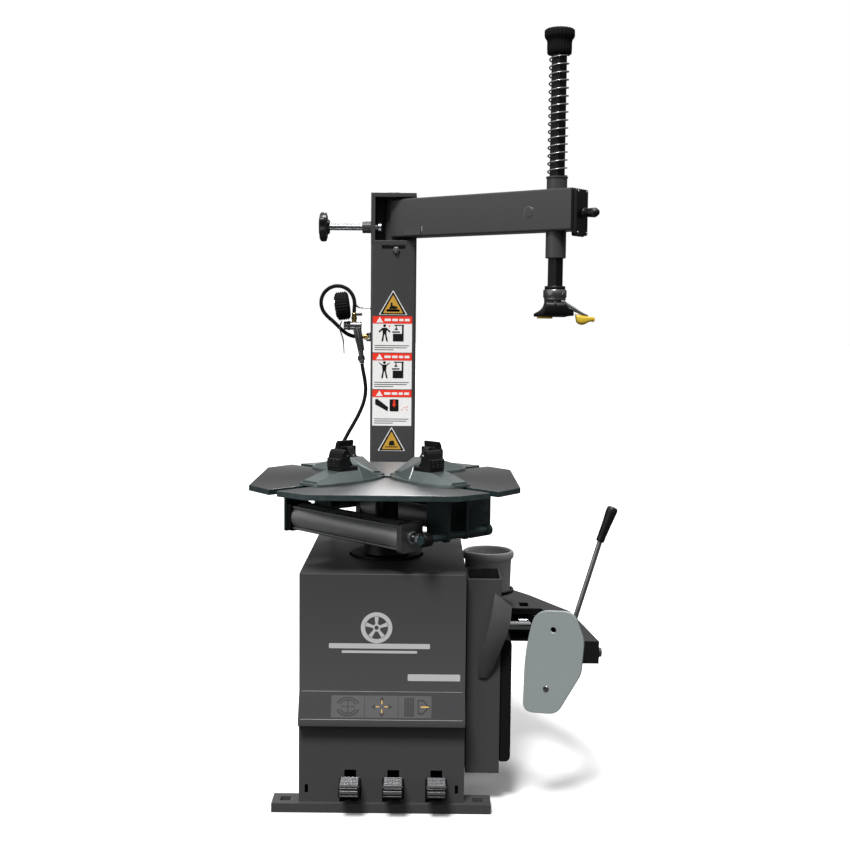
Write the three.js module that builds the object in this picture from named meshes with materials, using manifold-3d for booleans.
// Tire changer with a swing arm, a four-jaw turntable and a side bead breaker.
// Millimetres, +Z up. The origin is on the floor under the turntable's axis.
// +X is the operator's right, and the front of the machine faces -Y.
import * as THREE from 'three';
import { mergeVertices } from 'three/addons/utils/BufferGeometryUtils.js';
import Module from 'manifold-3d';

const wasm = await Module();
wasm.setup();

// ---------------------------------------------------------------- driving dimensions
const GAP = 0.3;                     // clearance between touching pieces
const SHEET = 4;                     // sheet thickness of the casings

const BASE = { halfX: 197, front: -262, back: 590, height: 22, floor: 4 };
const FOOT = { reach: 260, front: -272, depth: 62, slotX: 24, slotY: 25 };

const CABINET = { halfX: 196, back: 330, bottom: 22.3, top: 569 };
const CABINET_FRONT = { panel: -250, lower: -258, band: -282, bandTop: 287, bandLow: 229, lip: 213 };
const HOUSING = { x0: 199.3, x1: 281, y0: -212, y1: -83, z0: 77, z1: 552 };
const PAD = { thick: 27, y0: -205, y1: -97, z0: 102, z1: 404 };

const COLUMN = { side: 130, centreY: 510, bottom: 12.3, top: 1377, wall: 5 };
const HEAD = { thick: 12, bottom: 1377.3, top: 1524 };

const ARM = { length: 610, start: 14, half: 35, z0: 1399, z1: 1508, wall: 5, yaw: -37.04 };
const SHAFT = { reach: 546, flats: 38, bottom: 1224, top: 1900, guideR: 27 };
const SPRING = { meanR: 25, wireR: 2, z0: 1542, z1: 1855.5, turns: 15 };

const TABLE = { top: 766, thick: 14, lobe: 325, lobeHalf: 173, mouthU: 268, mouthV: 247, slotHalf: 15 };
const SLOT_START = 70;
const JAW_RADIUS = 152;
const CLAMP = { offset: 138, z: 659, tail: 188, nose: -234, pinU: 278, barrelR: 34, rodR: 9 };

const BREAKER = { hingeX: 305, hingeY: 290, z0: 322, z1: 410, rodY: 100, rodZ: 362, pivotX: 60 };
const BLADE = { x: 392, y: -262, z: 362, turn: -20, thick: 8 };

const PEDAL_X = [-74, 28, 130];
const PEDAL = { pivotY: -165, pivotZ: 50, shaftR: 8, width: 48 };
const BUCKET = { x: 268, y: 165, rimR: 70, bodyR: 61, z0: 432, z1: 550, ringZ: 438 };

// ---------------------------------------------------------------- materials
const paint = (color, roughness = 0.55, metalness = 0.35) =>
  new THREE.MeshStandardMaterial({ color, roughness, metalness });
const GREY_PAINT = () => paint(0x4a4a4c);
const BLACK_METAL = () => paint(0x1b1b1d, 0.5, 0.6);
const RUBBER = () => paint(0x121213, 0.85, 0);
const STEEL = () => paint(0x9c9fa1, 0.35, 0.95);
const CHROME = () => paint(0xd5d7d9, 0.15, 1);
const CAST = () => paint(0x6f7476, 0.5, 0.8);
const ALUMINIUM = () => paint(0xa6a8aa, 0.4, 0.9);
const PALE_PLASTIC = () => paint(0xb3b4b4, 0.5, 0);
const YELLOW_PLASTIC = () => paint(0xc7a22c, 0.5, 0);
const BRASS = () => paint(0xb98b3d, 0.3, 0.95);

// ---------------------------------------------------------------- solids
// Turns a closed three.js geometry into a manifold solid.
function solid(geometry) {
  const bare = geometry.index ? geometry.toNonIndexed() : geometry.clone();
  for (const key of Object.keys(bare.attributes)) {
    if (key !== 'position') bare.deleteAttribute(key);
  }
  const merged = mergeVertices(bare, 1e-3);
  const mesh = new wasm.Mesh({
    numProp: 3,
    vertProperties: new Float32Array(merged.attributes.position.array),
    triVerts: new Uint32Array(merged.index.array),
  });
  mesh.merge();
  return new wasm.Manifold(mesh);
}

const join = (...parts) => parts.reduce((sum, part) => sum.add(part));
const cut = (body, ...tools) => tools.reduce((left, tool) => left.subtract(tool), body);

function box(x0, x1, y0, y1, z0, z1) {
  const geometry = new THREE.BoxGeometry(x1 - x0, y1 - y0, z1 - z0);
  geometry.translate((x0 + x1) / 2, (y0 + y1) / 2, (z0 + z1) / 2);
  return solid(geometry);
}

const TO_AXIS = {
  x: new THREE.Matrix4().makeRotationZ(-Math.PI / 2),
  y: new THREE.Matrix4(),
  z: new THREE.Matrix4().makeRotationX(Math.PI / 2),
};

// How many flats stand for a round surface of this radius.
function roundSides(radius) {
  if (radius < 11) return 12;
  return radius < 40 ? 14 : 22;
}

// A cylinder or cone along one axis. centre gives the two other coordinates in x, y, z order.
function cylinder(axis, from, to, centre, r0, r1 = r0, sides = roundSides(r0)) {
  const geometry = new THREE.CylinderGeometry(r1, r0, to - from, sides);
  geometry.applyMatrix4(TO_AXIS[axis]);
  const middle = (from + to) / 2;
  const [a, b] = centre;
  const place = { x: [middle, a, b], y: [a, middle, b], z: [a, b, middle] }[axis];
  geometry.translate(...place);
  return solid(geometry);
}

// A closed outline from corners [x, y, radius]; a corner without a radius stays sharp.
function outline(corners) {
  const shape = new THREE.Shape();
  const count = corners.length;
  corners.forEach(([x, y, radius = 0], i) => {
    const corner = new THREE.Vector2(x, y);
    const before = new THREE.Vector2(...corners[(i + count - 1) % count].slice(0, 2)).sub(corner);
    const after = new THREE.Vector2(...corners[(i + 1) % count].slice(0, 2)).sub(corner);
    const enter = corner.clone().addScaledVector(before.normalize(), radius);
    const leave = corner.clone().addScaledVector(after.normalize(), radius);
    if (i === 0) shape.moveTo(enter.x, enter.y);
    else shape.lineTo(enter.x, enter.y);
    if (radius > 0) shape.quadraticCurveTo(x, y, leave.x, leave.y);
  });
  shape.closePath();
  return shape;
}

// Extrudes an outline. 'z' takes (x, y), 'x' takes (y, z) and 'y' takes (x, z) outlines.
function prism(axis, corners, from, to, curveSegments = 3) {
  const geometry = new THREE.ExtrudeGeometry(outline(corners), {
    depth: to - from, bevelEnabled: false, curveSegments,
  });
  geometry.translate(0, 0, from);
  if (axis === 'x') {
    geometry.applyMatrix4(new THREE.Matrix4().makeBasis(
      new THREE.Vector3(0, 1, 0), new THREE.Vector3(0, 0, 1), new THREE.Vector3(1, 0, 0)));
  }
  if (axis === 'y') {
    geometry.scale(1, 1, -1);
    geometry.applyMatrix4(new THREE.Matrix4().makeBasis(
      new THREE.Vector3(1, 0, 0), new THREE.Vector3(0, 0, 1), new THREE.Vector3(0, -1, 0)));
    return turnedOut(geometry);
  }
  return solid(geometry);
}

// Reverses the triangles of a mirrored geometry so its faces point out again.
function turnedOut(geometry) {
  const flat = geometry.index ? geometry.toNonIndexed() : geometry;
  const p = flat.attributes.position.array;
  for (let i = 0; i < p.length; i += 9) {
    for (let k = 0; k < 3; k += 1) {
      [p[i + 3 + k], p[i + 6 + k]] = [p[i + 6 + k], p[i + 3 + k]];
    }
  }
  return solid(flat);
}

// A solid of revolution about Z from [radius, z] points that start and end on the axis.
function turned(points, centre, sides = 22) {
  const geometry = new THREE.LatheGeometry(points.map(([r, z]) => new THREE.Vector2(r, z)), sides);
  geometry.applyMatrix4(TO_AXIS.z);
  geometry.translate(centre[0], centre[1], 0);
  return solid(geometry);
}

// A round tube along a smooth curve through points.
function tube(points, radius, sides, steps) {
  const path = new THREE.CatmullRomCurve3(points.map((p) => new THREE.Vector3(...p)));
  return sweep(path, radius, sides, steps);
}

function sweep(path, radius, sides, steps) {
  const ring = [];
  for (let i = 0; i < sides; i += 1) {
    const angle = (2 * Math.PI * i) / sides;
    ring.push(new THREE.Vector2(radius * Math.cos(angle), radius * Math.sin(angle)));
  }
  return solid(new THREE.ExtrudeGeometry(new THREE.Shape(ring), {
    steps, extrudePath: path, bevelEnabled: false,
  }));
}

// A straight round bar between two points in space.
function bar(from, to, r0, r1 = r0, sides = roundSides(r0)) {
  const start = new THREE.Vector3(...from);
  const run = new THREE.Vector3(...to).sub(start);
  const geometry = new THREE.CylinderGeometry(r1, r0, run.length(), sides);
  geometry.translate(0, run.length() / 2, 0);
  geometry.applyQuaternion(new THREE.Quaternion().setFromUnitVectors(
    new THREE.Vector3(0, 1, 0), run.normalize()));
  geometry.translate(start.x, start.y, start.z);
  return solid(geometry);
}

// Joins four-cornered sections, each a list of four [x, y, z] points, into one body.
function loft(sections) {
  const points = sections.flat();
  const faces = [[0, 3, 2, 1]];
  for (let i = 0; i + 1 < sections.length; i += 1) {
    for (let k = 0; k < 4; k += 1) {
      const next = (k + 1) % 4;
      faces.push([4 * i + k, 4 * i + next, 4 * i + 4 + next, 4 * i + 4 + k]);
    }
  }
  const last = 4 * (sections.length - 1);
  faces.push([last, last + 1, last + 2, last + 3]);
  const positions = [];
  for (const [a, b, c, d] of faces) {
    for (const index of [a, b, c, a, c, d]) positions.push(...points[index]);
  }
  const geometry = new THREE.BufferGeometry();
  geometry.setAttribute('position', new THREE.Float32BufferAttribute(positions, 3));
  const body = solid(geometry);
  return body.volume() > 0 ? body : turnedOut(geometry);
}

// ---------------------------------------------------------------- scene graph
const group = new THREE.Group();

function place(name, body, material, parent = group) {
  const { vertProperties, triVerts, numProp } = body.getMesh();
  const positions = [];
  for (const index of triVerts) {
    positions.push(...vertProperties.slice(index * numProp, index * numProp + 3));
  }
  const geometry = new THREE.BufferGeometry();
  geometry.setAttribute('position', new THREE.Float32BufferAttribute(positions, 3));
  geometry.computeVertexNormals();
  const mesh = new THREE.Mesh(geometry, material);
  mesh.name = name;
  parent.add(mesh);
  return mesh;
}

function frameAt(x, y, degrees, parent = group) {
  const frame = new THREE.Group();
  frame.position.set(x, y, 0);
  frame.rotation.z = THREE.MathUtils.degToRad(degrees);
  parent.add(frame);
  return frame;
}

// ---------------------------------------------------------------- base and casings
// Shallow pan on four slotted feet, with the pedal shaft, the column's foot plate and the
// post that the bead breaker cylinder turns on.
function baseFrame() {
  const { halfX, front, back, height, floor } = BASE;
  let body = cut(
    box(-halfX, halfX, front, back, 0, height),
    box(-halfX + SHEET, halfX - SHEET, front + SHEET, back - SHEET, floor, height + 1),
  );
  body = join(body, box(-FOOT.reach, FOOT.reach, FOOT.front, front + 1, 0, height));
  const rear = back - FOOT.depth;
  for (const side of [-1, 1]) {
    for (const y0 of [FOOT.front, rear]) {
      const x0 = side > 0 ? halfX - 1 : -FOOT.reach;
      const slotX = side * (FOOT.reach - 31);
      const slotY = y0 + FOOT.depth / 2;
      const foot = box(x0, x0 + FOOT.reach - halfX + 1, y0, y0 + FOOT.depth, 0, height);
      const slot = box(slotX - FOOT.slotX / 2, slotX + FOOT.slotX / 2,
        slotY - FOOT.slotY / 2, slotY + FOOT.slotY / 2, -1, height + 1);
      body = cut(join(body, foot), slot);
    }
  }
  const half = COLUMN.side / 2 + 14;
  body = join(body, box(-half, half, COLUMN.centreY - half, back - 2, floor - 1, 12));
  for (const x of [-150, 180]) {
    body = join(body, box(x - 4, x + 4, PEDAL.pivotY - 20, PEDAL.pivotY + 20, floor - 1, 68));
  }
  body = join(body, cylinder('x', -150, 180, [PEDAL.pivotY, PEDAL.pivotZ], PEDAL.shaftR));
  const { pivotX, rodY } = BREAKER;
  const post = box(pivotX - 32, pivotX + 32, rodY - 32, rodY + 32, floor - 1, 278);
  const socket = cylinder('z', 266, 280, [pivotX, rodY], 12.5);
  return cut(join(body, post), socket);
}

// Outline of the cabinet seen from the side, moved inward by inset.
function cabinetSide(inset) {
  const { panel, lower, band, bandTop, bandLow, lip } = CABINET_FRONT;
  const bottom = inset > 0 ? CABINET.bottom - 5 : CABINET.bottom;
  return [
    [lower + inset, bottom], [lower + inset, lip + inset], [band + inset, lip + inset],
    [band + inset, bandLow - inset / 4], [panel + inset, bandTop - inset / 4],
    [panel + inset, CABINET.top - inset], [CABINET.back - inset, CABINET.top - inset],
    [CABINET.back - inset, bottom],
  ].reverse();
}

const COVER = { y0: -150, y1: 260, z0: 90, z1: 520 };

// Folded steel cabinet: open below, with the pedal cut-outs, the gearbox opening, the side
// cover's opening, the rod slot and the bead breaker's hinge bracket.
function cabinetShell() {
  const { halfX, top } = CABINET;
  let body = prism('x', cabinetSide(0), -halfX, halfX);
  body = cut(body, prism('x', cabinetSide(SHEET), -halfX + SHEET, halfX - SHEET));
  const { lower } = CABINET_FRONT;
  for (const x of PEDAL_X) {
    body = cut(
      body,
      box(x - 26, x + 26, lower - 2, lower + 6, CABINET.bottom - 3, 78),
      box(x - 14, x + 14, lower - 2, lower + 6, 70, 100),
    );
  }
  for (const x of [-178, 178]) {
    body = cut(body, prism('y', [[x - 4, 42, 3], [x + 4, 42, 3], [x + 4, 64, 3], [x - 4, 64, 3]],
      lower - 2, lower + 6));
  }
  body = cut(body, cylinder('z', top - 10, top + 5, [0, 0], 95));
  body = cut(body, box(-halfX - 2, -halfX + 6, COVER.y0, COVER.y1, COVER.z0, COVER.z1));
  const { hingeX, hingeY, z0, z1, rodY } = BREAKER;
  body = cut(body, box(halfX - 6, halfX + 2, rodY - 24, rodY + 54, 338, 386));
  for (const low of [z0 - 12, z1 + 2]) {
    const ear = prism('z', [[halfX - 1, hingeY - 32], [hingeX + 26, hingeY - 26, 22],
      [hingeX + 26, hingeY + 26, 22], [halfX - 1, hingeY + 32]], low, low + 10);
    body = cut(join(body, ear), cylinder('z', low - 1, low + 11, [hingeX, hingeY], 12.4));
  }
  const web = box(halfX - 1, halfX + 40, hingeY - 4, hingeY + 4, z0 - 3, z1 + 3);
  return join(body, web, airPort());
}

// Elbow on the cabinet's back wall that feeds the inflation gun's hose.
const PORT = { x: -60, y: 358, z: 450 };
function airPort() {
  return join(
    cylinder('y', CABINET.back - 1, PORT.y, [PORT.x, PORT.z + 22], 10),
    cylinder('z', PORT.z, PORT.z + 32, [PORT.x, PORT.y], 11),
  );
}

function sideCover() {
  const x = -CABINET.halfX;
  const plate = box(x, x + SHEET, COVER.y0 + GAP, COVER.y1 - GAP, COVER.z0 + GAP, COVER.z1 - GAP);
  const knobs = [[-120, 498], [230, 498]].map(([y, z]) => cylinder('x', x - 9, x + 1, [y, z], 8));
  return join(plate, ...knobs);
}

function rightHousing() {
  const { x0, x1, y0, y1, z0, z1 } = HOUSING;
  return cut(box(x0, x1, y0, y1, z0, z1),
    box(x0 + SHEET, x1 - SHEET, y0 + SHEET, y1 - SHEET, z0 - 1, z1 + 1));
}

function rubberPad() {
  const x = HOUSING.x1 + GAP;
  const { thick, y0, y1, z0, z1 } = PAD;
  return prism('y', [[x, z0], [x + thick, z0, 14], [x + thick, z1, 14], [x, z1]], y0, y1);
}

// Tapered sheet that bows forward in front of the side housing; its top edge slopes.
// Each station gives its left and right corner as [x, z] and how far it bows.
function rodGuard() {
  const stations = [
    [[228, 313], [254, 313], 0], [[229, 350], [267, 348], 10], [[237, 390], [281, 388], 20],
    [[246, 425], [292, 420], 25], [[255, 465], [301, 452], 22], [[262, 503], [305, 475], 12],
    [[266, 519], [306, 487], 0],
  ];
  const front = HOUSING.y0 - GAP;
  return loft(stations.map(([[x0, z0], [x1, z1], bow]) => [
    [x0, front - 6 - bow, z0], [x1, front - 6 - bow, z1],
    [x1, front - bow, z1], [x0, front - bow, z0],
  ]));
}

// ---------------------------------------------------------------- column and head bracket
const CHUCK = { y: 492, z: 1113 };
function column() {
  const half = COLUMN.side / 2;
  const y = COLUMN.centreY;
  const inner = half - COLUMN.wall;
  const post = cut(
    box(-half, half, y - half, y + half, COLUMN.bottom, COLUMN.top),
    box(-inner, inner, y - inner, y + inner, COLUMN.bottom - 1, COLUMN.top + 1),
  );
  const hook = tube([[-64, 484, 1198], [-84, 484, 1197], [-102, 484, 1199], [-112, 484, 1208]], 2.5, 6, 8);
  const clip = cut(box(-78, -64, 483, 501, 1100, 1126), cylinder('x', -80, -69, [CHUCK.y, CHUCK.z], 7.5));
  return join(post, hook, clip);
}

// Bracket on the column's top, open to the front and right, with the stop screw's threaded boss.
const STOP = { y: 464, z: 1427, boss: -90, face: -35, rodR: 10 };
function headBracket() {
  const half = COLUMN.side / 2;
  const y = COLUMN.centreY;
  const { thick, bottom, top } = HEAD;
  const body = join(
    box(-half, half, y - half, y + half, bottom, bottom + thick),
    box(-half, half, y - half, y + half, top - thick, top),
    box(-half, -half + thick, y - half, y + half, bottom, top),
    box(-half, half, y + half - thick, y + half, bottom, top),
    cylinder('x', STOP.boss, -half + 1, [STOP.y, STOP.z], 17),
  );
  return cut(
    body,
    cylinder('x', STOP.boss - 1, -half + thick + 1, [STOP.y, STOP.z], STOP.rodR + 0.5),
    cylinder('z', bottom - 1, bottom + thick + 1, [0, y], 15.4),
    cylinder('z', top - thick - 1, top + 1, [0, y], 15.4),
  );
}

function armPivotPin() {
  const y = COLUMN.centreY;
  const { bottom, top } = HEAD;
  return join(
    cylinder('z', bottom - 12, top + 3, [0, y], 15),
    cylinder('z', top + GAP, top + 6, [0, y], 21),
  );
}

function stopScrew() {
  const centre = [STOP.y, STOP.z];
  const rod = cylinder('x', -190, STOP.face - 11, centre, STOP.rodR);
  const hub = cylinder('x', -215, -184, centre, 20);
  const lobes = [0, 1, 2, 3, 4, 5].map((i) => {
    const angle = (i * Math.PI) / 3;
    return cylinder('x', -208, -186, [STOP.y + 28 * Math.cos(angle), STOP.z + 28 * Math.sin(angle)], 14);
  });
  return join(rod, hub, ...lobes);
}

const stopPad = () => cylinder('x', STOP.face - 10, STOP.face - 0.6, [STOP.y, STOP.z], 13);

// ---------------------------------------------------------------- swing arm and shaft
function swingArm() {
  const { length, start, half, z0, z1, wall } = ARM;
  const { reach, guideR } = SHAFT;
  const tubeWall = cut(
    box(start, length, -half, half, z0, z1),
    box(46, length + 1, -half + wall, half - wall, z0 + wall, z1 - wall),
  );
  const body = join(
    tubeWall,
    cylinder('z', HEAD.bottom + HEAD.thick + 1, HEAD.top - HEAD.thick - 1, [0, 0], 27),
    cylinder('z', 1329, 1537, [reach, 0], guideR),
    cylinder('z', 1537, 1541.5, [reach, 0], 29),
  );
  return cut(
    body,
    cylinder('z', 1300, 1600, [reach, 0], 22.8),
    cylinder('z', 1300, 1600, [0, 0], 15.4),
  );
}

function lockHousing() {
  const u = ARM.length + GAP;
  const plate = prism('x', [[-31, 1384, 6], [31, 1384, 6], [31, 1507, 6], [-31, 1507, 6]], u, u + 14);
  return cut(plate, cylinder('x', u + 2, u + 16, [0, 1444], 8.4));
}

// Knob that turns about the arm's own length: a neck, a barrel and a tapered tip.
function lockLever() {
  const u = ARM.length + GAP + 14;
  return join(
    cylinder('x', u - 10, u + 12, [0, 1444], 8),
    cylinder('x', u + 3, u + 10, [0, 1444], 14),
    cylinder('x', u + 9, u + 38, [0, 1444], 11, 13),
    cylinder('x', u + 37, u + 48, [0, 1444], 13, 6, 14),
  );
}

function hexShaft() {
  const radius = SHAFT.flats / Math.sqrt(3);
  return cylinder('z', SHAFT.bottom, SHAFT.top, [0, 0], radius, radius, 6);
}

function shaftCap() {
  const profile = [
    [0, 1856], [31, 1856], [33, 1859], [33, 1896], [39, 1900], [40, 1904], [40, 1917],
    [36, 1921], [0, 1921],
  ];
  return cut(turned(profile, [0, 0]), cylinder('z', 1850, SHAFT.top + 0.5, [0, 0], 22.8));
}

class Helix extends THREE.Curve {
  getPoint(t, target = new THREE.Vector3()) {
    const angle = 2 * Math.PI * SPRING.turns * t;
    const low = SPRING.z0 + SPRING.wireR + 0.3;
    const high = SPRING.z1 - SPRING.wireR;
    return target.set(SPRING.meanR * Math.cos(angle), SPRING.meanR * Math.sin(angle), low + (high - low) * t);
  }
}

const returnSpring = () => sweep(new Helix(), SPRING.wireR, 5, SPRING.turns * 9);

// Duck-shaped mounting head: collar, body, a toe to the left and a hooked finger to the right.
function mountHead() {
  const collar = turned([
    [0, 1196], [27, 1196], [31, 1203], [32, 1222], [32, 1242], [29, 1252], [0, 1252],
  ], [0, 0]);
  const toe = loft([
    [[16, -30, 1178], [16, 26, 1178], [16, 26, 1214], [16, -30, 1214]],
    [[-16, -34, 1176], [-16, 28, 1176], [-16, 28, 1212], [-16, -34, 1212]],
    [[-44, -28, 1174], [-44, 22, 1174], [-44, 22, 1196], [-44, -28, 1196]],
    [[-60, -14, 1174], [-60, 12, 1174], [-60, 12, 1184], [-60, -14, 1184]],
  ]);
  const finger = loft([
    [[10, -26, 1184], [10, 22, 1184], [10, 22, 1222], [10, -26, 1222]],
    [[30, -24, 1190], [30, 14, 1190], [30, 14, 1217], [30, -24, 1217]],
    [[54, -22, 1176], [54, -2, 1176], [54, -2, 1195], [54, -22, 1195]],
  ]);
  return cut(join(collar, toe, finger), cylinder('z', SHAFT.bottom - 0.4, 1260, [0, 0], 22.8));
}

const toeInsert = () => loft([
  [[-6, -18, 1167], [-6, 16, 1167], [-6, 16, 1173.7], [-6, -18, 1173.7]],
  [[-46, -16, 1167], [-46, 12, 1167], [-46, 12, 1173.7], [-46, -16, 1173.7]],
]);

const fingerInsert = () => loft([
  [[54.3, -25, 1172], [54.3, 1, 1172], [54.3, 1, 1194], [54.3, -25, 1194]],
  [[70, -26, 1155], [70, 2, 1155], [70, 2, 1190], [70, -26, 1190]],
  [[88, -23, 1162], [88, -1, 1162], [88, -1, 1189], [88, -23, 1189]],
  [[105, -18, 1175], [105, -6, 1175], [105, -6, 1184], [105, -18, 1184]],
]);

// ---------------------------------------------------------------- turntable
function turntablePlate() {
  const { top, thick, lobe, lobeHalf, mouthU, mouthV, slotHalf } = TABLE;
  const root = SLOT_START * Math.SQRT1_2;
  const side = slotHalf * Math.SQRT1_2;
  const corners = [];
  for (let k = 0; k < 4; k += 1) {
    const quarter = (k * Math.PI) / 2;
    const turn = ([u, v]) => [
      u * Math.cos(quarter) - v * Math.sin(quarter),
      u * Math.sin(quarter) + v * Math.cos(quarter),
    ];
    corners.push(
      turn([mouthU, -mouthV]), turn([lobe, -lobeHalf]), turn([lobe, lobeHalf]), turn([mouthU, mouthV]),
      turn([root + side, root - side]), turn([root - side, root + side]),
    );
  }
  return cut(prism('z', corners, top - thick, top), cylinder('z', top - 20, top + 5, [0, 0], 24));
}

// One clamp slide along its own +X: guide plate below, tongue in the slot, casting above.
function jawSlide(withBrackets) {
  const { top, thick, slotHalf } = TABLE;
  const under = top - thick - GAP;
  const over = top + GAP;
  const guideEnd = withBrackets ? CLAMP.pinU + 12 : 250;
  const body = join(
    box(SLOT_START + 6, guideEnd, -30, 30, under - 13, under),
    box(SLOT_START + 6, 250, -slotHalf + 0.5, slotHalf - 0.5, under - 1, over + 1),
    prism('z', [[18, -9, 5], [60, -30, 20], [150, -50, 30], [225, -46, 20], [262, -32, 12],
      [262, 32, 12], [225, 46, 20], [150, 50, 30], [60, 30, 20], [18, 9, 5]], over, over + 6),
    loft([
      [[40, -17, over + 5], [40, 17, over + 5], [40, 10, over + 11], [40, -10, over + 11]],
      [[117, -41, over + 5], [117, 41, over + 5], [117, 22, over + 41], [117, -22, over + 41]],
      [[121, -41, over + 5], [121, 41, over + 5], [121, 26, over + 29], [121, -26, over + 29]],
      [[186, -46, over + 5], [186, 46, over + 5], [186, 26, over + 29], [186, -26, over + 29]],
      [[252, -30, over + 5], [252, 30, over + 5], [252, 24, over + 11], [252, -24, over + 11]],
    ]),
  );
  return withBrackets ? join(body, clampBrackets(under)) : body;
}

// What hangs from a slide that works a clamp cylinder: the tail plate of one cylinder, and two
// cheeks that hold the cross pin of the other one's rod.
function clampBrackets(under) {
  const { offset, z, tail, pinU } = CLAMP;
  const cheek = [[pinU - 60, z - 4], [pinU - 6, z - 14, 8], [pinU + 10, z - 14, 8],
    [pinU + 10, under - 5], [pinU - 60, under - 5]];
  const cheeks = [-70, -6].map((v) => prism('y', cheek, v - 5, v + 5));
  return join(
    box(pinU - 60, pinU + 10, -75, 30, under - 13, under - 4),
    ...cheeks,
    prism('x', [[-28, under - 6], [-28, z + 52], [offset - 37, z + 36], [offset - 37, z - 36],
      [offset + 36, z - 36], [offset + 36, under - 6]].reverse(), tail + GAP, tail + 10),
    cylinder('y', -offset - 13, 72, [pinU, z], 9),
    cylinder('y', -offset - 18, -offset - 12.6, [pinU, z], 12, 12, 6),
    cylinder('y', 66, 78, [pinU, z], 14),
  );
}

// Boxy clamping jaw bolted on top of a slide, with a leaning plate at its top and a heel
// that slopes down towards the table's centre.
function jaw() {
  const z = TABLE.top + GAP + 29 + GAP;
  const u = JAW_RADIUS;
  return join(
    box(u - 30, u + 26, -25, 25, z, z + 10),
    prism('y', [[u - 6, z + 8], [u + 26, z + 8], [u + 26, z + 36, 3], [u + 14, z + 51, 2],
      [u + 2, z + 51, 2], [u - 6, z + 38, 4]].reverse(), -25, 25),
    prism('y', [[u - 30, z + 8], [u - 4, z + 8], [u - 4, z + 36], [u - 12, z + 34]].reverse(), -10, 10),
  );
}

// Clamp cylinder in the frame of the slide that carries its tail.
function clampCylinder() {
  const { offset, z, tail, nose, barrelR, rodR } = CLAMP;
  const half = 35;
  const flange = (from, to) => prism('x', [[offset - half, z - half, 8], [offset + half, z - half, 8],
    [offset + half, z + half, 8], [offset - half, z + half, 8]], from, to, 3);
  return cut(
    join(
      cylinder('x', nose + 5, tail - 5, [offset, z], barrelR),
      flange(nose, nose + 16),
      flange(tail - 16, tail),
    ),
    cylinder('x', nose - 5, tail - 22, [offset, z], rodR + 0.4),
  );
}

// Clamp rod and its eye in the frame of the slide that carries the cross pin.
function clampRod() {
  const { offset, z, tail, nose, pinU, rodR } = CLAMP;
  return cut(
    join(
      cylinder('x', -tail + 40, pinU - 12, [-offset, z], rodR),
      cylinder('x', -nose + 18, pinU - 6, [-offset, z], 12, 12, 6),
      cylinder('y', -offset - 12, -offset + 12, [pinU, z], 16),
    ),
    cylinder('y', -offset - 15, -offset + 15, [pinU, z], 9.5),
  );
}

function turntableShaft() {
  const under = TABLE.top - TABLE.thick;
  return join(
    cylinder('z', 600 + GAP, under - GAP, [0, 0], 30),
    cylinder('z', under - 14, under - GAP, [0, 0], 62),
    cylinder('z', under - 1, TABLE.top - 3, [0, 0], 23.5),
  );
}

// ---------------------------------------------------------------- drive
function gearbox() {
  return join(
    prism('z', [[-75, -75, 20], [75, -75, 20], [75, 75, 20], [-75, 75, 20]], 450, 556),
    cylinder('z', 545, 575, [0, 0], 90),
    cylinder('z', 570, 600, [0, 0], 62, 56, 40),
  );
}

const BELT = { x0: -112, x1: -98, gearY: 0, gearZ: 505, gearR: 50, motorY: -30, motorZ: 170, motorR: 34 };

function pulley(y, z, radius, shaftEnd) {
  return join(
    cylinder('x', BELT.x0 - 3, BELT.x1 + 3, [y, z], radius, radius, 40),
    cylinder('x', BELT.x0 - 6, shaftEnd, [y, z], 14),
  );
}

// Outline of a belt that runs around both pulleys at the given distance outside them.
function beltLoop(outside, x0, x1) {
  const { gearY, gearZ, gearR, motorY, motorZ, motorR } = BELT;
  const dy = motorY - gearY;
  const dz = motorZ - gearZ;
  const heading = Math.atan2(dz, dy);
  const lean = Math.acos((gearR - motorR) / Math.hypot(dy, dz));
  const points = [];
  const arcs = [
    [gearY, gearZ, gearR + outside, heading + lean, heading + 2 * Math.PI - lean],
    [motorY, motorZ, motorR + outside, heading - lean, heading + lean],
  ];
  for (const [y, z, r, from, to] of arcs) {
    for (let i = 0; i <= 20; i += 1) {
      const angle = from + ((to - from) * i) / 20;
      points.push([y + r * Math.cos(angle), z + r * Math.sin(angle)]);
    }
  }
  return prism('x', points, x0, x1);
}

const driveBelt = () => cut(beltLoop(7, BELT.x0, BELT.x1), beltLoop(GAP, BELT.x0 - 5, BELT.x1 + 5));

function motor() {
  const { motorY: y, motorZ: z } = BELT;
  return join(
    cylinder('x', -85, 110, [y, z], 65),
    cylinder('x', -85, -70, [y, z], 72),
    cylinder('x', 100, 118, [y, z], 60, 50, 40),
    box(-60, 80, y - 50, y + 50, BASE.floor + GAP, z - 30),
    box(-20, 60, y - 30, y + 30, z + 55, z + 88),
  );
}

function rotaryUnion() {
  return cut(
    join(
      cylinder('z', 604, 640, [0, 0], 46),
      cylinder('y', -74, -30, [0, 622], 9),
      cylinder('z', 600.4, 606, [0, 0], 40),
    ),
    cylinder('z', 590, 660, [0, 0], 31.6),
  );
}

// ---------------------------------------------------------------- bead breaker
const SWIVEL = { y: -215, z: 378 };
const ARM_OUTER = [[300, 326, 12], [338, 318, 12], [386, 244, 20], [449, 116, 20], [478, 60, 20], [494, -80, 40],
  [504, -177, 20], [512, -236]];
const ARM_INNER = [[466, -236], [448, -60, 30], [404, 85], [300, 85, 8], [283, 262, 10], [283, 300, 12]];

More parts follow.
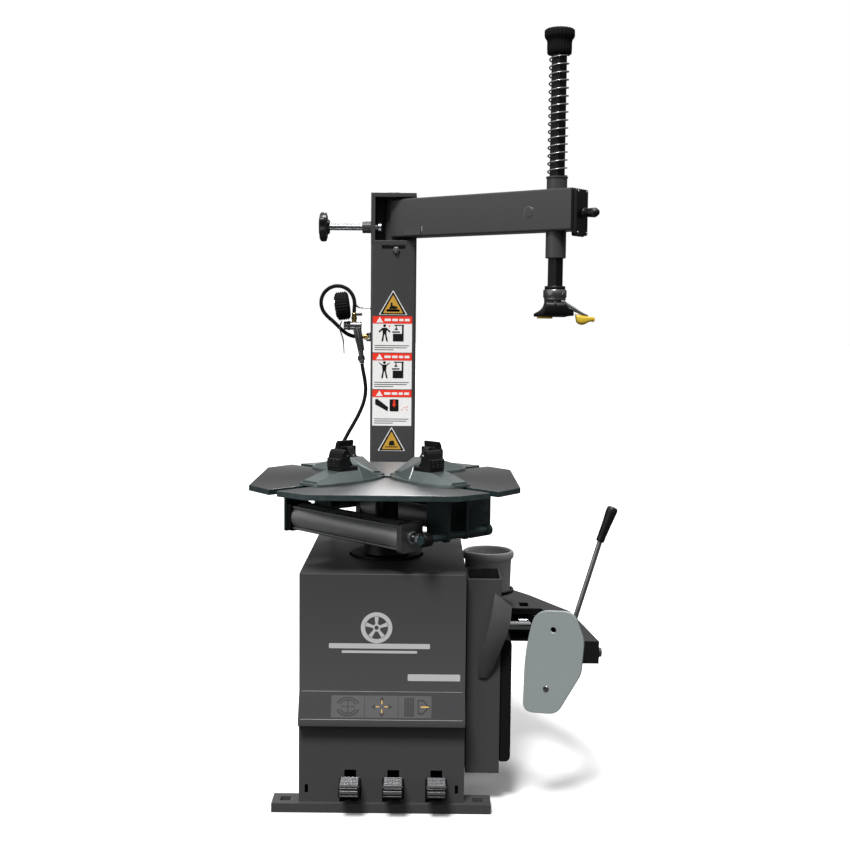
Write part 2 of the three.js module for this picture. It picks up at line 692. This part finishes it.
function breakerArm() {
  const { hingeX, hingeY, z0, z1 } = BREAKER;
  const plate = (from, to) => prism('z', [...ARM_OUTER, ...ARM_INNER].reverse(), from, to);
  const ridge = ARM_OUTER.slice(1, -1).map(([x, y]) => [x, y - 3]);
  const inside = ridge.map(([x, y]) => [x - 8, y - 3]);
  const web = prism('z', [...ridge, ...inside.reverse()].reverse(), z0 + 2, z1 - 2);
  const beam = prism('z', [[466, -236], [512, -236], [495, -80], [450, -80]], z0 + 34, z1 - 1);
  const body = join(
    plate(z1 - 6, z1),
    plate(z0, z0 + 6),
    web,
    beam,
    box(304, 403, 85.5, 91, z1 - 16, z1 - 1),
    cylinder('z', z0, z1, [hingeX, hingeY], 25),
  );
  return cut(
    body,
    cylinder('z', z0 - 1, z1 + 1, [hingeX, hingeY], 12.5),
    box(430, 530, -240, -110, z0 - 1, z0 + 33),
    box(351, 375, 108, 150, z1 - 7, z1 + 1),
    cylinder('x', 440, 530, [SWIVEL.y, SWIVEL.z], 8.4),
  );
}

function armHingePin() {
  const { hingeX, hingeY, z0, z1 } = BREAKER;
  return join(
    cylinder('z', z0 - 20, z1 + 16, [hingeX, hingeY], 12),
    cylinder('z', z1 + 12 + GAP, z1 + 19, [hingeX, hingeY], 18),
  );
}

function breakerCylinder() {
  const { pivotX, rodY, rodZ } = BREAKER;
  const centre = [rodY, rodZ];
  const shell = join(
    cylinder('x', pivotX - 105, pivotX + 105, centre, 75),
    cylinder('z', 268, rodZ - 60, [pivotX, rodY], 12),
    cylinder('z', 278 + GAP, rodZ - 60, [pivotX, rodY], 24),
  );
  return cut(
    shell,
    cylinder('x', pivotX - 97, pivotX + 95, centre, 70),
    cylinder('x', pivotX + 90, pivotX + 110, centre, 16.6),
  );
}

function breakerRod() {
  const { pivotX, rodY, rodZ } = BREAKER;
  const centre = [rodY, rodZ];
  return join(
    cylinder('x', pivotX - 80, 380, centre, 16),
    cylinder('x', pivotX - 92, pivotX - 70, centre, 69.4),
    cylinder('z', 332, 392, [392, rodY], 19),
  );
}

// Block bolted to the arm's end: it carries the blade and the handle.
function bladeSupport() {
  return join(
    box(404, 459, SWIVEL.y - 22, SWIVEL.y + 22, SWIVEL.z - 24, SWIVEL.z + 24),
    cylinder('x', 457, 516, [SWIVEL.y, SWIVEL.z], 8),
    cylinder('x', 513, 521, [SWIVEL.y, SWIVEL.z], 13, 13, 6),
  );
}

function breakerBlade() {
  const plate = prism('y', [[-34, 127, 34], [58, 131, 24], [84, 64, 14], [78, -16, 14], [22, -117, 20],
    [-61, -121, 26], [-58, 30, 60]].reverse(), -BLADE.thick, 0);
  return cut(plate, cylinder('y', -BLADE.thick - 1, 1, [10, 83], 6.5));
}

// Wedge behind the blade, in the blade's own frame. Its slanted back lies along the front face
// of the support block.
function bladeBack() {
  const turn = THREE.MathUtils.degToRad(BLADE.turn);
  const blockFront = SWIVEL.y - 22 - GAP;
  const backAt = (x) => (blockFront - BLADE.y - x * Math.sin(turn)) / Math.cos(turn);
  return prism('z', [[-20, GAP], [60, GAP], [54, backAt(54)], [10, backAt(10)], [-20, 14]], -10, 40);
}

function bladeHandle() {
  const foot = [440, SWIVEL.y, SWIVEL.z + 26.5];
  const neck = [513.5, SWIVEL.y, 652];
  const end = [541, SWIVEL.y, 728];
  return join(bar(foot, neck, 6), bar([511, SWIVEL.y, 645], end, 10, 13.5));
}

// ---------------------------------------------------------------- pedals
function pedal(x) {
  const { pivotY, pivotZ, shaftR, width } = PEDAL;
  const half = width / 2;
  const arm = loft([
    [[x - 10, pivotY, 40], [x + 10, pivotY, 40], [x + 10, pivotY, 60], [x - 10, pivotY, 60]],
    [[x - 10, -250, 48], [x + 10, -250, 48], [x + 10, -250, 68], [x - 10, -250, 68]],
    [[x - 10, -284, 60], [x + 10, -284, 60], [x + 10, -284, 78], [x - 10, -284, 78]],
  ]);
  const tread = prism('x', [[-322, 56, 3], [-266, 72, 3], [-266, 84, 3], [-318, 84, 4]].reverse(),
    x - half, x + half);
  const tail = box(x - 7, x + 7, pivotY, pivotY + 26, 46, 58);
  return cut(
    join(arm, tread, tail, cylinder('x', x - 16, x + 16, [pivotY, pivotZ], 15)),
    cylinder('x', x - 20, x + 20, [pivotY, pivotZ], shaftR + 0.4),
  );
}

const valveBlock = () => join(
  box(-120, 160, -132, -112, BASE.floor + GAP, 40),
  ...PEDAL_X.map((x) => box(x - 16, x + 16, -133, -104, 30, 92)),
);

// ---------------------------------------------------------------- bucket
function bucket() {
  const { x, y, rimR, bodyR, z0, z1 } = BUCKET;
  return turned([
    [0, z0], [bodyR - 6, z0], [bodyR, z0 + 6], [bodyR + 2, z1 - 24], [rimR - 3, z1 - 22], [rimR, z1 - 14],
    [rimR, z1 - 8], [rimR - 6, z1], [bodyR, z1], [bodyR - 3, z1 - 4], [bodyR - 6, z0 + 6], [0, z0 + 5],
  ], [x, y], 22);
}

function bucketRing() {
  const { x, y, bodyR, ringZ: z } = BUCKET;
  return cut(
    join(
      cylinder('z', z, z + 8, [x, y], bodyR + 9, bodyR + 9, 40),
      box(CABINET.halfX + GAP, x - 40, y - 30, y + 30, z, z + 8),
      box(CABINET.halfX + GAP, CABINET.halfX + 6, y - 40, y + 40, z - 20, z + 20),
    ),
    cylinder('z', z - 30, z + 30, [x, y], bodyR + 2.6, bodyR + 2.6, 40),
  );
}

// ---------------------------------------------------------------- inflation gun and hoses
const GUN_Y = 470;
const HOSE_R = 5.5;

function gunBody() {
  const y = GUN_Y;
  return join(
    bar([-143, y, 1145], [-92, y, 1145], 12),
    bar([-106, y, 1143], [-92, y, 1072], 12, 10),
    bar([-95, y, 1084], [-90, y, 1036], 8),
    bar([-93, y, 1058], [-90.5, y, 1042], 10, 10, 6),
    bar([-113, y, 1152], [-113, y - 6, 1182], 7),
    bar([-113, y - 5, 1177], [-90, y - 5, 1178], 4),
  );
}

// Pressure gauge in a rubber boot, thinner at both faces.
const gunGauge = () => join(
  bar([-166.8, GUN_Y, 1198.8], [-127.2, GUN_Y, 1204.2], 36),
  bar([-158.8, GUN_Y, 1199.9], [-135.2, GUN_Y, 1203.1], 41),
);

const gunTrigger = () => loft([
  [[-152, 463, 1157], [-146, 463, 1157], [-146, 477, 1157], [-152, 477, 1157]],
  [[-157, 463, 1134], [-151, 463, 1134], [-151, 477, 1134], [-157, 477, 1134]],
  [[-147, 463, 1106], [-142, 463, 1106], [-142, 477, 1106], [-147, 477, 1106]],
  [[-144, 463, 1062], [-140, 463, 1062], [-140, 477, 1062], [-144, 477, 1062]],
]);

const INLET_ROUTE = [
  [-90, 470, 1035.4], [-86, 470, 1012], [-81, 470, 985], [-79, 469, 955], [-84, 467, 925],
  [-96, 463, 893], [-112, 457, 862], [-132, 450, 826], [-150, 444, 786], [-162, 439, 740],
  [-168, 436, 690], [-170, 434, 630], [-170, 429, 570], [-170, 420, 510], [-170, 409, 455],
  [-170, 396, 400], [-169, 384, 352], [-168.5, 378, 322], [-164.4, 370, 301.1],
  [-153.5, 364.3, 284.4], [-134.8, 361, 271.8], [-114.3, 359.3, 268], [-91.4, 358.2, 272.8],
  [-75.6, 357.5, 283.3], [-63.9, 357.9, 300.4], [-58.9, 358.5, 321.8], [-59.6, 358, 360],
  [-60, 358, 405], [-60, 358, 449.6],
];

const OUTLET_ROUTE = [
  [-113, 463.4, 1183.5], [-112.4, 462.2, 1196], [-111.7, 462.1, 1208], [-115.6, 462.1, 1227.5],
  [-125.6, 463.1, 1243.4], [-141, 464.6, 1254.4], [-159.1, 466.4, 1258.6], [-177.4, 468.2, 1255.7],
  [-193.3, 470, 1246.1], [-204.5, 472, 1231.3], [-209.3, 474.2, 1213.4], [-207, 476.8, 1195],
  [-198, 479.8, 1178.8], [-171.3, 484.5, 1153.5], [-144.7, 488, 1128.2], [-132.5, 489.4, 1119.9],
  [-118.6, 490.8, 1114.8], [-104, 492, 1113], [-91.5, 492, 1113],
];

const tyreChuck = () => join(
  cylinder('x', -91, -69.6, [CHUCK.y, CHUCK.z], 6),
  cylinder('x', -84, -79, [CHUCK.y, CHUCK.z], 9),
);

// ---------------------------------------------------------------- assembly
place('base_frame', baseFrame(), BLACK_METAL());
place('cabinet_shell', cabinetShell(), GREY_PAINT());
place('left_side_cover', sideCover(), GREY_PAINT());
place('right_housing', rightHousing(), GREY_PAINT());
place('rubber_pad', rubberPad(), RUBBER());
place('rod_guard', rodGuard(), GREY_PAINT());
place('column', column(), GREY_PAINT());
place('head_bracket', headBracket(), GREY_PAINT());
place('arm_pivot_pin', armPivotPin(), STEEL());
place('stop_screw', stopScrew(), BLACK_METAL());
place('stop_pad', stopPad(), STEEL());

const armFrame = frameAt(0, COLUMN.centreY, ARM.yaw);
place('swing_arm', swingArm(), GREY_PAINT(), armFrame);
place('lock_housing', lockHousing(), GREY_PAINT(), armFrame);
place('lock_lever', lockLever(), BLACK_METAL(), armFrame);
const shaftFrame = frameAt(SHAFT.reach, 0, -ARM.yaw, armFrame);
place('hex_shaft', hexShaft(), BLACK_METAL(), shaftFrame);
place('shaft_cap', shaftCap(), RUBBER(), shaftFrame);
place('return_spring', returnSpring(), CHROME(), shaftFrame);
place('mount_head', mountHead(), CAST(), shaftFrame);
place('head_insert_toe', toeInsert(), YELLOW_PLASTIC(), shaftFrame);
place('head_insert_finger', fingerInsert(), YELLOW_PLASTIC(), shaftFrame);

place('turntable_plate', turntablePlate(), STEEL());
place('turntable_shaft', turntableShaft(), STEEL());
const SLIDE_ANGLES = [225, 135, 45, 315];
const slideFrames = SLIDE_ANGLES.map((angle) => frameAt(0, 0, angle));
slideFrames.forEach((frame, i) => {
  place(`jaw_slide_${i + 1}`, jawSlide(i % 2 === 1), CAST(), frame);
  place(`jaw_${i + 1}`, jaw(), BLACK_METAL(), frame);
});
place('clamp_cylinder_1', clampCylinder(), ALUMINIUM(), slideFrames[1]);
place('clamp_rod_1', clampRod(), CHROME(), slideFrames[3]);
place('clamp_cylinder_2', clampCylinder(), ALUMINIUM(), slideFrames[3]);
place('clamp_rod_2', clampRod(), CHROME(), slideFrames[1]);

place('gearbox', gearbox(), BLACK_METAL());
place('gearbox_pulley', pulley(BELT.gearY, BELT.gearZ, BELT.gearR, -75 - GAP), CAST());
place('motor', motor(), BLACK_METAL());
place('motor_pulley', pulley(BELT.motorY, BELT.motorZ, BELT.motorR, -85 - GAP), CAST());
place('drive_belt', driveBelt(), RUBBER());
place('rotary_union', rotaryUnion(), BLACK_METAL());

place('bead_breaker_cylinder', breakerCylinder(), ALUMINIUM());
place('bead_breaker_rod', breakerRod(), CHROME());
place('bead_breaker_arm', breakerArm(), GREY_PAINT());
place('arm_hinge_pin', armHingePin(), STEEL());
place('blade_support', bladeSupport(), BLACK_METAL());
const bladeFrame = frameAt(BLADE.x, BLADE.y, BLADE.turn);
bladeFrame.position.z = BLADE.z;
place('breaker_blade', breakerBlade(), PALE_PLASTIC(), bladeFrame);
place('blade_bracket', bladeBack(), BLACK_METAL(), bladeFrame);
place('blade_handle', bladeHandle(), STEEL());

['pedal_left', 'pedal_middle', 'pedal_right'].forEach((name, i) => {
  place(name, pedal(PEDAL_X[i]), BLACK_METAL());
});
place('pedal_valves', valveBlock(), ALUMINIUM());
place('bucket', bucket(), PALE_PLASTIC());
place('bucket_ring', bucketRing(), BLACK_METAL());

place('gun_body', gunBody(), BLACK_METAL());
place('gun_gauge', gunGauge(), RUBBER());
place('gun_trigger', gunTrigger(), STEEL());
place('inlet_hose', tube(INLET_ROUTE, HOSE_R, 8, 46), RUBBER());
place('outlet_hose', tube(OUTLET_ROUTE, HOSE_R, 8, 24), RUBBER());
place('tyre_chuck', tyreChuck(), BRASS());

export default group;
